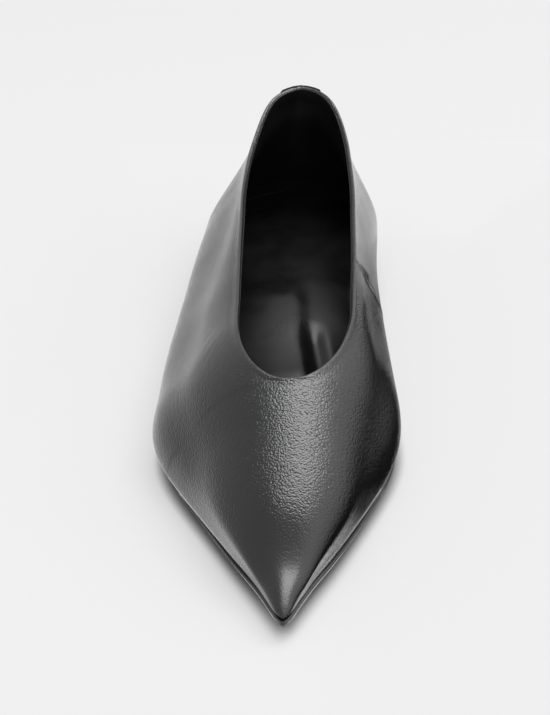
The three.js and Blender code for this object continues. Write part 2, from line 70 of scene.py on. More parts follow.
camera_data = bpy.data.cameras.new("camera")
camera_data.sensor_fit = "HORIZONTAL"
camera_data.sensor_width = SENSOR_WIDTH
camera_data.lens = FOCAL_LENGTH
camera_data.clip_start = 10 * MM
camera = bpy.data.objects.new("camera", camera_data)
bpy.context.scene.collection.objects.link(camera)
camera.location = CAMERA_PLACE
camera.rotation_mode = "QUATERNION"
look = (CAMERA_AIM - CAMERA_PLACE).to_track_quat("-Z", "Y")
camera.rotation_quaternion = look @ Quaternion((0, 0, 1), -CAMERA_ROLL)
bpy.context.scene.camera = camera
print("camera is", round((CAMERA_AIM - CAMERA_PLACE).length, 3), "m from the shoe")

# %% [markdown]
# ## Floor and light
#
# Black leather shows little colour of its own. What the eye reads is what it mirrors, so the
# light is the most important choice here. One large soft light hangs over the shoe, further to
# the big-toe side, and makes the bright band down the middle of the vamp. A grey room fills
# the dark sides. The shoe stands on paper with a little light of its own, which keeps the
# ground even. Close to the shoe that glow is cut, a painted contact shadow that keeps it short.
#
# Finishes are made of nodes. They could be built by hand in the editor, but a few helpers that
# add a node and feed its sockets keep each finish down to the lines that matter.

# %% Node helpers
def feed(owner, socket, value):
    """Gives a socket a number of its own, or a wire from another node."""
    if isinstance(value, bpy.types.NodeSocket):
        owner.node_tree.links.new(value, socket)
    else:
        socket.default_value = value


def wire(owner, kind, inputs=None, **settings):
    """Adds a shader node with its options set and its sockets fed."""
    node = owner.node_tree.nodes.new("ShaderNode" + kind)
    for option, choice in settings.items():
        setattr(node, option, choice)
    for socket, value in (inputs or {}).items():
        feed(owner, node.inputs[socket], value)
    return node


def ramp(owner, source, start, end, low=0.0, high=1.0):
    """Goes softly from low to high as the source goes from start to end."""
    inputs = {"Value": source, "From Min": start, "From Max": end, "To Min": low, "To Max": high}
    return wire(owner, "MapRange", inputs, interpolation_type="SMOOTHSTEP").outputs[0]


def combine(owner, operation, *terms):
    """Numbers and wires put together by one Math node."""
    return wire(owner, "Math", dict(enumerate(terms)), operation=operation).outputs[0]


def new_material(name):
    """An empty node material, with its Principled shader."""
    material = bpy.data.materials.new(name)
    material.use_nodes = True
    material.node_tree.nodes.clear()
    shader = wire(material, "BsdfPrincipled")
    wire(material, "OutputMaterial", {"Surface": shader.outputs["BSDF"]})
    return material, shader


print("helpers are ready in Blender", bpy.app.version_string)


# %% Floor
FLOOR_REACH = 3000


def flat_sheet(name, corners, height=0.0):
    """A level sheet of the studio with the given corners, which isn't part of the shoe."""
    shape = bmesh.new()
    shape.faces.new([shape.verts.new(Vector((x, y, height)) * MM) for x, y in corners])
    mesh = bpy.data.meshes.new(name)
    shape.to_mesh(mesh)
    shape.free()
    sheet = bpy.data.objects.new(name, mesh)
    bpy.context.scene.collection.objects.link(sheet)
    return sheet


square = [(-1, -1), (1, -1), (1, 1), (-1, 1)]
floor = flat_sheet("floor", [(x * FLOOR_REACH, y * FLOOR_REACH) for x, y in square])
print("floor is", round(floor.dimensions.x, 1), "m wide")

# %% Paper on the floor
PAPER_TONE = 0.165
PAPER_GLOW = 0.51
# The glow is a little weaker towards the softbox and stronger away from it, to even the ground.
GLOW_TRIM = 0.056
TRIMMED_OVER = 0.7  # metres
# The painted contact shadow, which dims the paper's glow where the shoe hides the sky: how far
# it looks for the shoe, and the shares of open sky from dark to lit.
PAINTED_SHADOW_REACH = 6
SHADOW_AT, OPEN_AT = 0.35, 0.95

paper, paper_shader = new_material("pale_paper")
paper_shader.inputs["Base Color"].default_value = (PAPER_TONE, PAPER_TONE, PAPER_TONE, 1)
paper_shader.inputs["Roughness"].default_value = 0.9
paper_shader.inputs["Specular IOR Level"].default_value = 0.1
paper_shader.inputs["Emission Color"].default_value = (1, 1, 1, 1)
near_shoe = wire(paper, "AmbientOcclusion", {"Distance": PAINTED_SHADOW_REACH * MM}, samples=12)
spot = wire(paper, "SeparateXYZ", {0: wire(paper, "TexCoord").outputs["Object"]})
to_the_light = combine(paper, "ADD", spot.outputs["X"], spot.outputs["Y"])
evened = ramp(
    paper, to_the_light, -TRIMMED_OVER, TRIMMED_OVER, PAPER_GLOW + GLOW_TRIM, PAPER_GLOW - GLOW_TRIM
)
# The glow fades out close to the shoe: a painted contact shadow.
outside_painted_shadow = ramp(paper, near_shoe.outputs["AO"], SHADOW_AT, OPEN_AT)
feed(paper, paper_shader.inputs["Emission Strength"], combine(paper, "MULTIPLY", evened, outside_painted_shadow))
floor.data.materials.append(paper)
print("paper glows at", PAPER_GLOW, "and is evened by", GLOW_TRIM)

# %% Softbox
# Its two edges on each axis, and its height over the floor, in metres.
SOFTBOX_X = (-0.17, 0.95)
SOFTBOX_Y = (-0.17, 0.64)
SOFTBOX_HEIGHT = 1.2
SOFTBOX_POWER = 23

softbox_data = bpy.data.lights.new("softbox", "AREA")
softbox_data.shape = "RECTANGLE"
softbox_data.size = SOFTBOX_X[1] - SOFTBOX_X[0]
softbox_data.size_y = SOFTBOX_Y[1] - SOFTBOX_Y[0]
softbox_data.energy = SOFTBOX_POWER
softbox = bpy.data.objects.new("softbox", softbox_data)
bpy.context.scene.collection.objects.link(softbox)
softbox.location = (sum(SOFTBOX_X) / 2, sum(SOFTBOX_Y) / 2, SOFTBOX_HEIGHT)
print("softbox covers", round(softbox_data.size, 2), "by", round(softbox_data.size_y, 2), "m")

# %% Room
# Grey all round, and brighter by ROOM_RIGHT high up on the big-toe side.
ROOM_GREY = 0.9
ROOM_RIGHT = 1.4
RIGHT_FROM, RIGHT_TO = 0.3, 0.9
HIGH_FROM, HIGH_TO = 0.0, 0.6

room = bpy.data.worlds.new("room")
room.use_nodes = True
backdrop = room.node_tree.nodes["Background"]
backdrop.inputs["Color"].default_value = (1, 1, 1, 1)
direction = wire(room, "SeparateXYZ", {0: wire(room, "TexCoord").outputs["Generated"]})
to_the_right = ramp(room, direction.outputs["X"], RIGHT_FROM, RIGHT_TO)
high_up = ramp(room, direction.outputs["Z"], HIGH_FROM, HIGH_TO)
right_and_high = combine(room, "MULTIPLY", to_the_right, high_up)
brightness = combine(room, "MULTIPLY_ADD", right_and_high, ROOM_RIGHT, ROOM_GREY)
feed(room, backdrop.inputs["Strength"], brightness)
bpy.context.scene.world = room
bpy.context.scene.view_settings.view_transform = "Standard"
print("room goes from", ROOM_GREY, "to", round(ROOM_GREY + ROOM_RIGHT, 1), "in brightness")

# %% [markdown]
# Photographers lay cards beside a glossy thing to draw its edges. White cards lie close to the
# shoe on the little-toe side, at the right of the toe and beside the heel, and give the low
# walls their light edges. A black card lies outside them on the big-toe side and draws the dark
# strip above the edge. They could be real boards with a shadow each, but only their mirror image
# in the leather is wanted, so only glossy rays see them.

# %% Cards
CARD_HEIGHT = 0.5
HIDDEN_FROM = ("camera", "diffuse", "transmission", "volume_scatter", "shadow")
# Brightness, and the corners as x and y in mm.
CARDS = {
    "left_card": (
        1.28,
        [(-100, -270), (-5, -270), (-5, 100), (-75, 100), (-80, -80), (-100, -120)],
    ),
    "right_card": (1.7, [(0, -250), (14, -250), (21, -206), (27.5, -185), (34, -165), (20, -160)]),
    "back_card": (1.3, [(20, 15), (70, 15), (118, 100), (20, 100)]),
    "black_card": (
        0.02,
        [(10, -290), (340, -290), (340, 90), (125, 90), (46, -25), (50, -110)]
        + [(43, -145), (36, -168), (28.5, -185), (22, -206), (16, -240)],
    ),
}
for name, (card_brightness, corners) in CARDS.items():
    card = flat_sheet(name, corners, CARD_HEIGHT)
    card_paint, card_shader = new_material(name)
    card_shader.inputs["Base Color"].default_value = (0, 0, 0, 1)
    card_shader.inputs["Specular IOR Level"].default_value = 0
    card_shader.inputs["Emission Color"].default_value = (1, 1, 1, 1)
    card_shader.inputs["Emission Strength"].default_value = card_brightness
    card.data.materials.append(card_paint)
    for rays in HIDDEN_FROM:
        setattr(card, "visible_" + rays, False)
    print(name, "is", round(card.dimensions.x, 2), "by", round(card.dimensions.y, 2), "m")

# %% [markdown]
# ## From CAD facets to smooth pieces
#
# The CAD solids are made of flat triangles. A copy is merged at its corners, its triangles are
# joined in pairs, and a Subdivision Surface rounds the result. Each piece could also be modelled
# afresh, but then it could drift from the solid that the simulation uses.

# %% Copy a CAD node as quads
MERGE_DISTANCE = 0.002


def quads_from(node):
    """A CAD node as a new bmesh of quads."""
    shape = bmesh.new()
    shape.from_mesh(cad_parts[node].data)
    bmesh.ops.remove_doubles(shape, verts=shape.verts, dist=MERGE_DISTANCE * MM)
    bmesh.ops.join_triangles(
        shape,
        faces=shape.faces,
        angle_face_threshold=math.pi,
        angle_shape_threshold=math.pi,
        topology_influence=1.5,
    )
    for layer in list(shape.loops.layers.uv.values()):
        shape.loops.layers.uv.remove(layer)
    return shape


trial = quads_from("upper")
triangles = len(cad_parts["upper"].data.polygons)
print("upper:", len(trial.faces), "faces from", triangles, "triangles")
trial.free()

# %% Find its patches and sharp edges
SHARP = 30  # degrees


def face_patches(shape):
    """Groups of faces that no sharp edge parts, the largest first."""
    left = set(shape.faces)
    groups = []
    while left:
        group = []
        front = [left.pop()]
        while front:
            face = front.pop()
            group.append(face)
            for edge in face.edges:
                if math.degrees(edge.calc_face_angle(0)) > SHARP:
                    continue
                for neighbour in edge.link_faces:
                    if neighbour in left:
                        left.remove(neighbour)
                        front.append(neighbour)
        groups.append(group)
    return sorted(groups, key=lambda group: -sum(face.calc_area() for face in group))


def corners_of(faces):
    """All the vertices of some faces."""
    return {vertex for face in faces for vertex in face.verts}


def sharp_edges(shape):
    """The edges between two faces that turn sharply."""
    return [
        edge
        for edge in shape.edges
        if edge.is_manifold and math.degrees(edge.calc_face_angle()) > SHARP
    ]


trial = quads_from("insole")
print("insole:", len(face_patches(trial)), "patches and", len(sharp_edges(trial)), "sharp edges")
trial.free()


# %% Make a piece of it
def add_piece(shape, name, materials, nodes=(), levels=0):
    """Makes the bmesh an object that rides on the shoe, and stands for the CAD nodes named."""
    mesh = bpy.data.meshes.new(name)
    for face in shape.faces:
        face.smooth = True
    shape.to_mesh(mesh)
    shape.free()
    piece = bpy.data.objects.new(name, mesh)
    bpy.context.scene.collection.objects.link(piece)
    for material in materials:
        mesh.materials.append(material)
    if levels:
        rounding = piece.modifiers.new("rounding", "SUBSURF")
        rounding.levels = levels
        rounding.render_levels = levels
    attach(piece, "root")
    if nodes:
        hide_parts(*nodes)
    return piece


# %% Keep a smoothed piece on its CAD shape
LET_OUT = 0.8


def let_out(piece, rounds=3, most=LET_OUT):
    """Smoothing draws a shape in, so its cage is let out, by at most so many mm, to meet the CAD.

    Gives back how far in mm the CAD's corners are from the smoothed shape at most.
    """
    true_places = [vertex.co.copy() for vertex in piece.data.vertices]
    for _ in range(rounds):
        bpy.context.view_layer.update()
        smooth = piece.evaluated_get(bpy.context.evaluated_depsgraph_get()).data
        drawn_in = [place - smooth.vertices[i].co for i, place in enumerate(true_places)]
        for vertex, place, step in zip(piece.data.vertices, true_places, drawn_in):
            offset = vertex.co + step - place
            if offset.length > most * MM:
                offset *= most * MM / offset.length
            vertex.co = place + offset
        piece.data.update()
    bpy.context.view_layer.update()
    smoothed = piece.evaluated_get(bpy.context.evaluated_depsgraph_get())
    gaps = [(smoothed.closest_point_on_mesh(place)[1] - place).length for place in true_places]
    return round(max(gaps) / MM, 1)


def bake_modifiers(piece):
    """Replaces a piece's mesh by what its modifiers make of it."""
    bpy.context.view_layer.update()
    depsgraph = bpy.context.evaluated_depsgraph_get()
    mesh = bpy.data.meshes.new_from_object(
        piece.evaluated_get(depsgraph), preserve_all_data_layers=True, depsgraph=depsgraph
    )
    plain = piece.data
    piece.modifiers.clear()
    piece.data = mesh
    bpy.data.meshes.remove(plain)
    mesh.name = piece.name


print("cages are let out by", LET_OUT, "mm at most, or as a piece says")

# %% [markdown]
# ## Finishes
#
# Every finish is built from a few nodes that read Object coordinates, so nothing slides or
# stretches. Grain could come from a picture of leather, but cells drawn by a Voronoi texture stay
# sharp at any distance. The cells give the pebbles, a finer set gives the creases between them,
# and noise bends both so that no two are alike.

# %% Helpers for finishes
def place_in_mm(material):
    """Object coordinates in millimetres."""
    inputs = {0: wire(material, "TexCoord").outputs["Object"], 1: (1 / MM, 1 / MM, 1 / MM)}
    return wire(material, "VectorMath", inputs, operation="MULTIPLY").outputs[0]


def colour_between(material, dark, light, factor):
    """A colour that goes from dark to light as the factor goes from 0 to 1."""
    inputs = {"A": (*dark, 1), "B": (*light, 1), "Factor": factor}
    return wire(material, "Mix", inputs, data_type="RGBA").outputs["Result"]


def relief(material, shader, height, depth_mm, strength=1.0):
    """Wires a height from 0 to 1 into the shader's normal, depth_mm deep."""
    inputs = {"Distance": depth_mm * MM, "Height": height, "Strength": strength}
    feed(material, shader.inputs["Normal"], wire(material, "Bump", inputs).outputs[0])


# A noise texture hardly ever leaves this range.
NOISE_LOW, NOISE_HIGH = 0.2, 0.8
print("patterns are laid out in units of", MM, "m")

# %% Upper leather
# A dyed calf leather with a fine pebble grain. It was pulled flat over the toe, so the grain fades
# out towards the tip. Where edges are touched its finish is a little lighter and duller: worn at
# the tip, and along the fold and beside the seam partly worn and partly a painted highlight of
# the light line that these edges catch.
PEBBLE = 0.72
PORES_FINER = 2.3
PEBBLE_FALL = 1.5  # how steeply a dome falls off from its middle
PORE_DEPTH = 0.3  # as a share of a dome's height
GRAIN_DEPTH = 0.085
BEND = 0.35
GRAIN_FADES = (-196, -228, 0.25)  # from y to y, down to this share
TIP_DULLS = (-206, -226, 0.12)  # from y to y, rougher by this much
GLOSS = (0.17, 0.23)
RUBBED_DULLER = 0.12
BLACK_DYE = (0.0027, 0.0027, 0.0029)
RUBBED_AND_SHEEN_DYE = (0.008, 0.0078, 0.0075)

upper_leather, upper_shader = new_material("upper_leather")
on_leather = place_in_mm(upper_leather)
bend = wire(upper_leather, "TexNoise", {"Scale": 0.7, "Detail": 1, "Vector": on_leather})
bend_inputs = {0: bend.outputs["Color"], 1: (BEND, BEND, BEND), 2: on_leather}
bent = wire(upper_leather, "VectorMath", bend_inputs, operation="MULTIPLY_ADD").outputs[0]


def round_cells(finer):
    """The squared distance to the nearest cell's middle: a bowl in every cell."""
    cells = wire(upper_leather, "TexVoronoi", {"Scale": finer / PEBBLE, "Vector": bent})
    return combine(upper_leather, "MULTIPLY", cells.outputs["Distance"], cells.outputs["Distance"])


domes = combine(upper_leather, "MULTIPLY_ADD", round_cells(1.0), -PEBBLE_FALL, 1.0)
grain = combine(upper_leather, "MULTIPLY_ADD", round_cells(PORES_FINER), -PORE_DEPTH, domes)
along = wire(upper_leather, "SeparateXYZ", {0: on_leather}).outputs["Y"]
full_from, faded_at, share_left = GRAIN_FADES
off_the_tip = ramp(upper_leather, along, faded_at, full_from, share_left, 1.0)
relief(upper_leather, upper_shader, grain, GRAIN_DEPTH, off_the_tip)
print("upper leather has pebbles of", PEBBLE, "mm")

# %% Upper leather's gloss and colour
cloud = wire(upper_leather, "TexNoise", {"Scale": 0.06, "Detail": 3, "Vector": on_leather})
# This attribute marks wear at the tip, and along the fold and the seam wear and a painted
# highlight.
wear_and_sheen = wire(upper_leather, "Attribute", attribute_name="wear_and_sheen").outputs["Fac"]
gloss = ramp(upper_leather, cloud.outputs["Fac"], NOISE_LOW, NOISE_HIGH, *GLOSS)
rubbed = combine(upper_leather, "MULTIPLY_ADD", wear_and_sheen, RUBBED_DULLER, gloss)
glossy_from, dull_at, duller_by = TIP_DULLS
dull_tip = ramp(upper_leather, along, dull_at, glossy_from, duller_by, 0.0)
roughness = combine(upper_leather, "ADD", rubbed, dull_tip)
feed(upper_leather, upper_shader.inputs["Roughness"], roughness)
# The lighter dye is wear at the tip, and partly a painted highlight along the fold and the seam.
dye = colour_between(upper_leather, BLACK_DYE, RUBBED_AND_SHEEN_DYE, wear_and_sheen)
feed(upper_leather, upper_shader.inputs["Base Color"], dye)
print("upper leather has", len(upper_leather.node_tree.nodes), "nodes")

# %% The other finishes
# Dark and light tone, roughness, width and depth of the relief's spots in mm, specular level,
# and how the spots are drawn out along x, y and z.
SOLE_DARK = (0.007, 0.006, 0.0055)
SOLE_LIGHT = (0.016, 0.014, 0.013)
FINISHES = {
    "lining_leather": ((0.002,) * 3, (0.004,) * 3, 0.5, 0.7, 0.03, 0.25, (1, 1, 1)),
    "insole_leather": ((0.001,) * 3, (0.0025,) * 3, 0.3, 0.8, 0.015, 0.28, (1, 1, 1)),
    "tab_leather": ((0.002,) * 3, (0.004,) * 3, 0.6, 0.5, 0.04, 0.2, (1, 1, 1)),
    "sole_leather": (SOLE_DARK, SOLE_LIGHT, 0.34, 0.6, 0.06, 0.5, (1, 1, 5)),
    "top_piece_rubber": ((0.01,) * 3, (0.016,) * 3, 0.72, 0.35, 0.05, 0.5, (1, 1, 1)),
    "thread": ((0.012,) * 3, (0.03,) * 3, 0.45, 0.25, 0.05, 0.5, (1, 1, 1)),
}
GLOSS_VARIES = 0.05


def soft_finish(name, dark, light, roughness, pattern_mm, depth_mm, specular, drawn_out):
    """A finish of two close tones, with a noise relief whose spots are about pattern_mm wide."""
    material, shader = new_material(name)
    place = place_in_mm(material)
    drawn = wire(material, "VectorMath", {0: place, 1: drawn_out}, operation="MULTIPLY").outputs[0]
    spots = wire(material, "TexNoise", {"Scale": 1 / pattern_mm, "Detail": 5, "Vector": drawn})
    relief(material, shader, spots.outputs["Fac"], depth_mm)
    cloud_inputs = {"Scale": 0.07, "Detail": 3, "Vector": place}
    clouds = wire(material, "TexNoise", cloud_inputs).outputs["Fac"]
    feed(material, shader.inputs["Base Color"], colour_between(material, dark, light, clouds))
    smooth, rough = roughness - GLOSS_VARIES, roughness + GLOSS_VARIES
    uneven = ramp(material, clouds, NOISE_LOW, NOISE_HIGH, smooth, rough)
    feed(material, shader.inputs["Roughness"], uneven)
    shader.inputs["Specular IOR Level"].default_value = specular
    return material


finish = {name: soft_finish(name, *numbers) for name, numbers in FINISHES.items()}
print("finishes:", "upper_leather", *finish)

# %% [markdown]
# ## Upper
#
# The upper is one skin of leather over a thinner lining. At the opening the leather is folded
# over, and the lining is glued inside it, which leaves a thin dark line between the two all the
# way round. The skin is smoothed from the CAD first. Then the fine things are pressed into its
# mesh: the line at the fold, the seam on the big-toe side, and the creases that walking leaves.
# They could be bump alone, but real relief also catches the light from the side.

# %% Where the fold is
# From the outside in, the opening's edge has four corners, this far apart in mm.
FOLD_CORNERS = (0.0, 0.65, 1.55, 2.23)

upper_shape = quads_from("upper")
fold = upper_shape.verts.layers.float.new("fold_mm")
# The three largest patches are the outside, the inside and the part turned in under the foot.
patches = face_patches(upper_shape)
inside = patches[1]
rim_strips = patches[3:6]
outer_corners = corners_of(patches[0])
inner_corners = corners_of(inside)
outer_strip = next(corners_of(strip) for strip in rim_strips if corners_of(strip) & outer_corners)
edge_of_fold = {}
for vertex in set().union(*(corners_of(strip) for strip in rim_strips)):
    if vertex in outer_corners:
        edge_of_fold[vertex] = 0
    elif vertex in inner_corners:
        edge_of_fold[vertex] = 3
    else:
        edge_of_fold[vertex] = 1 if vertex in outer_strip else 2
print("the opening's edge has", len(edge_of_fold), "corners")


# %% Measure how far each corner is from the fold
def tree_of(points):
    """A tree that finds the nearest of some points."""
    tree = KDTree(len(points))
    for i, point in enumerate(points):
        tree.insert(point, i)
    tree.balance()
    return tree


outer_line, inner_line = (
    tree_of([vertex.co.copy() for vertex, number in edge_of_fold.items() if number == corner])
    for corner in (0, 3)
)
for vertex in upper_shape.verts:
    if vertex in edge_of_fold:
        vertex[fold] = FOLD_CORNERS[edge_of_fold[vertex]]
    elif vertex in outer_corners:
        vertex[fold] = -outer_line.find(vertex.co)[2] / MM
    else:
        vertex[fold] = FOLD_CORNERS[3] + inner_line.find(vertex.co)[2] / MM
lined = set(inside)
for strip in rim_strips:
    if corners_of(strip) & inner_corners:
        lined.update(strip)
for face in lined:
    face.material_index = 1
print("the lining covers", len(lined), "faces")

# %% Smooth the upper and refine it where the fine things go
upper_finishes = [upper_leather, finish["lining_leather"]]
upper = add_piece(upper_shape, "upper_skin", upper_finishes, ["upper"], levels=2)
print("upper passes its CAD corners within", let_out(upper), "mm")
bake_modifiers(upper)


def refine(piece, wanted, cuts):
    """Cuts the edges whose both ends are wanted, so that small relief has vertices to bend."""
    shape = bmesh.new()
    shape.from_mesh(piece.data)
    layer = shape.verts.layers.float.get("fold_mm")
    chosen = {
        vertex
        for vertex in shape.verts
        if wanted(vertex.co / MM, vertex[layer] if layer else 0)
    }
    edges = [edge for edge in shape.edges if chosen.issuperset(edge.verts)]
    bmesh.ops.subdivide_edges(shape, edges=edges, cuts=cuts, use_grid_fill=True)
    many_sided = [face for face in shape.faces if len(face.verts) > 4]
    bmesh.ops.triangulate(shape, faces=many_sided)
    shape.to_mesh(piece.data)
    shape.free()


def by_the_seam(place, fold_mm):
    return place.x > 15 and -97 < place.y < -70 and fold_mm < 0.3


def near_the_fold(_, fold_mm):
    return -0.8 < fold_mm < 2.6


def front_of_side(place, fold_mm):
    return place.x < -12 and -155 < place.y < -100 and -14 < fold_mm < 0.3


refine(upper, near_the_fold, 1)
refine(upper, by_the_seam, 3)
refine(upper, front_of_side, 1)
print("upper has", sum(len(face.vertices) - 2 for face in upper.data.polygons), "triangles")


# %% Soft numbers for pressing leather
def read(mesh, what):
    """One vector for each vertex, as an array."""
    values = np.empty(len(mesh.vertices) * 3)
    mesh.vertices.foreach_get(what, values)
    return values.reshape(-1, 3)


def hill(distance, width):
    """1 where the distance is 0, falling softly to nothing over about twice the width."""
    return np.exp(-((distance / width) ** 2))


def soft_step(value, start, end):
    """0 at the start, 1 at the end, and soft at both."""
    share = np.clip((value - start) / (end - start), 0, 1)
    return share * share * (3 - 2 * share)


print("a hill falls to", round(float(hill(1, 1)), 2), "of its height at its width")


# %% Lines on the skin
# A distance in mm that stands for nowhere near.
FAR = 99.0
# Rays towards the skin start this far to a side, or this far above the floor.
RAYS_FROM_SIDE, RAYS_FROM_ABOVE = 90, 120


def on_skin(piece, x=None, y=0.0, z=None, side=1):
    """The point of a piece's outside at y and z seen from one side, or at x and y from above."""
    if x is None:
        start, aim = Vector((side * RAYS_FROM_SIDE, y, z)), Vector((-side, 0, 0))
    else:
        start, aim = Vector((x, y, RAYS_FROM_ABOVE)), Vector((0, 0, -1))
    hit, point, _, _ = piece.ray_cast(start * MM, aim)
    if not hit:
        raise ValueError(f"nothing of {piece.name} at {x}, {y}, {z}")
    return np.array(point) / MM


def fill_in(points, step=0.4):
    """Points every step mm along a line through the points."""
    dense = []
    for start, end in zip(points, points[1:]):
        count = max(2, int(np.linalg.norm(end - start) / step))
        dense.extend(start + (end - start) * i / count for i in range(count))
    return np.array(dense + [points[-1]])


def from_line(places, line, reach=6):
    """How far each place is from a dense line, and how far along it, from 0 to 1."""
    tree = tree_of(line)
    low, high = line.min(axis=0) - reach, line.max(axis=0) + reach
    near = np.where(((places > low) & (places < high)).all(axis=1))[0]
    distance = np.full(len(places), FAR)
    share = np.zeros(len(places))
    for i in near:
        _, index, distance[i] = tree.find(places[i])
        share[i] = index / (len(line) - 1)
    return distance, share


print("the vamp is", round(on_skin(upper, x=0.0, y=-170.0)[2], 1), "mm high over the toes")

# %% Press the fold
# Height, place across the fold and half width: the line between folded leather and lining, the
# full round of the fold, and the turned edge that shows faintly below it.
FOLD_LINES = [(-0.34, FOLD_CORNERS[2], 0.2), (0.24, 0.4, 0.9), (-0.1, -2.4, 0.8)]
# Beyond this many mm from the outside the skin is lining, and is left alone.
LEATHER_ENDS = 1.6

skin = upper.data
skin_places = read(skin, "co") / MM
fold_mm = np.array([item.value for item in skin.attributes["fold_mm"].data])
leather = fold_mm < LEATHER_ENDS
skin_rise = sum(height * hill(fold_mm - at, width) for height, at, width in FOLD_LINES)
print("leather is", round(100 * leather.mean()), "% of the upper's corners")

# %% Press the side seam
# The seam of the big-toe side: y and z from the opening down to the sole.
SIDE_SEAM = [(-88.5, 46.2), (-87.5, 41), (-85.6, 35), (-83.8, 30), (-83, 25)]
SIDE_SEAM += [(-81.5, 15), (-80.5, 8)]
SEAM_DEPTH, SEAM_WIDTH = 0.28, 0.3
# The leather swells on both sides of the seam, and more behind it, where three layers meet.
SWELL_HEIGHT, SWELL_AT, SWELL_WIDTH = 0.12, 1.1, 0.7
MORE_BEHIND = 0.3

seam_gap, _ = from_line(skin_places, fill_in([on_skin(upper, y=y, z=z) for y, z in SIDE_SEAM]))
seam_gap[~leather | (skin_places[:, 0] < 10)] = FAR
seam_ys, seam_zs = np.array(SIDE_SEAM[::-1]).T
behind = np.where(skin_places[:, 1] > np.interp(skin_places[:, 2], seam_zs, seam_ys), 1.0, -1.0)
skin_rise -= SEAM_DEPTH * hill(seam_gap, SEAM_WIDTH)
skin_rise += SWELL_HEIGHT * hill(seam_gap - SWELL_AT, SWELL_WIDTH) * (1 + MORE_BEHIND * behind)
print("seam is", SIDE_SEAM[0][1] - SIDE_SEAM[-1][1], "mm high")

# %% Press the creases
# Points, depth and half width. The points are y and z on a side, or x and y seen from above.
CREASES = [
    ("inner", [(-84.5, 43), (-81.5, 38), (-79.5, 33), (-79, 29)], 0.45, 0.45),
    ("inner", [(-81.5, 41), (-78, 35.5), (-76.2, 31)], 0.4, 0.5),
    ("inner", [(-85.8, 41), (-83.6, 36.5), (-82.2, 32)], 0.35, 0.4),
    ("inner", [(-78.5, 38.5), (-75.5, 34), (-73.8, 30)], 0.25, 0.5),
    ("outer", [(-117, 42.6), (-121, 39.5), (-123, 36)], 0.04, 1.0),
    ("outer", [(-123, 43), (-128, 40), (-131, 36)], 0.05, 1.1),
    ("outer", [(-130, 43.5), (-135, 40.5), (-139, 36)], 0.04, 1.0),
    ("outer", [(-137, 43.8), (-143, 40), (-147, 35)], 0.03, 1.2),
    ("top", [(13.2, -166.5), (15.5, -170), (18.6, -172.5)], 0.16, 0.7),
    ("top", [(15.8, -161.5), (18.6, -164), (22, -165.5)], 0.13, 0.7),
    ("top", [(10.5, -168.3), (12.2, -172.5), (14.6, -176)], 0.12, 0.7),
]
# Each has a low lip on both sides, and fades towards its ends.
LIP_HEIGHT, LIP_AT = 0.35, 2.1
FADE_ENDS, FADE_POWER = (0.04, 0.96), 0.7
SIDES = {"inner": 1, "outer": -1}

for where, points, depth, width in CREASES:
    if where == "top":
        crossed = [on_skin(upper, x=x, y=y) for x, y in points]
    else:
        crossed = [on_skin(upper, y=y, z=z, side=SIDES[where]) for y, z in points]
    gap, share = from_line(skin_places, fill_in(crossed))
    gap[~leather] = FAR
    fade = np.sin(np.pi * np.clip(share, *FADE_ENDS)) ** FADE_POWER
    skin_rise -= depth * fade * (hill(gap, width) - LIP_HEIGHT * hill(gap - LIP_AT * width, width))
print("pressed", len(CREASES), "creases")

# %% Press the back seam and the calm unevenness of hand-pulled leather
BACK_FROM = 15
# The back seam leans to one side by 2 mm over its lowest 30 mm, and stays there.
BACK_LEAN, LEANS_OVER = 2.0, 30
BACK_DEPTH, BACK_WIDTH = 0.22, 0.35
BACK_SWELL, BACK_SWELL_AT, BACK_SWELL_WIDTH = 0.08, 1.1, 0.6
# Waves about two centimetres long, which cross each other and calm down near the fold.
WAVE_HEIGHT = 0.018
CALM_NEAR_FOLD = 8

x, y, z = skin_places.T
back_gap = np.abs(x - BACK_LEAN * np.clip(z / LEANS_OVER, 0, 1))
back_seam = BACK_SWELL * hill(back_gap - BACK_SWELL_AT, BACK_SWELL_WIDTH)
back_seam -= BACK_DEPTH * hill(back_gap, BACK_WIDTH)
skin_rise += np.where(leather & (y > BACK_FROM), back_seam, 0)
waves = np.sin(x * 0.21 + y * 0.13 + 1.0) * np.sin(z * 0.24 - y * 0.09)
waves += np.sin(y * 0.31 + z * 0.17 + 2.0) * np.sin(x * 0.27)
skin_rise += np.where(leather, WAVE_HEIGHT * waves * np.clip(-fold_mm / CALM_NEAR_FOLD, 0, 1), 0)
print("relief from", round(float(skin_rise.min()), 2), "to", round(float(skin_rise.max()), 2), "mm")

# %% Move the skin, and mark its wear and its painted highlight
# How much lighter and more rubbed the finish is, where and how widely: at the fold and beside the
# seam, where it is partly wear and partly a painted highlight, and over the last millimetres of
# the toe, where it is wear.
FOLD_WEAR_AND_SHEEN, FOLD_WEAR_AND_SHEEN_AT = 0.8, 0.2
SEAM_WEAR_AND_SHEEN, SEAM_WEAR_AND_SHEEN_AT = 0.35, 0.8
WEAR_AND_SHEEN_WIDTH = 0.5
WORN_TIP, TIP_FROM, TIP_OVER = 0.5, -236, 7

wear_and_sheen_share = FOLD_WEAR_AND_SHEEN * hill(fold_mm - FOLD_WEAR_AND_SHEEN_AT, WEAR_AND_SHEEN_WIDTH)
wear_and_sheen_share += SEAM_WEAR_AND_SHEEN * hill(seam_gap - SEAM_WEAR_AND_SHEEN_AT, WEAR_AND_SHEEN_WIDTH)
skin_places += read(skin, "normal") * skin_rise[:, None]
wear_and_sheen_share += WORN_TIP * np.clip((TIP_FROM - skin_places[:, 1]) / TIP_OVER, 0, 1)
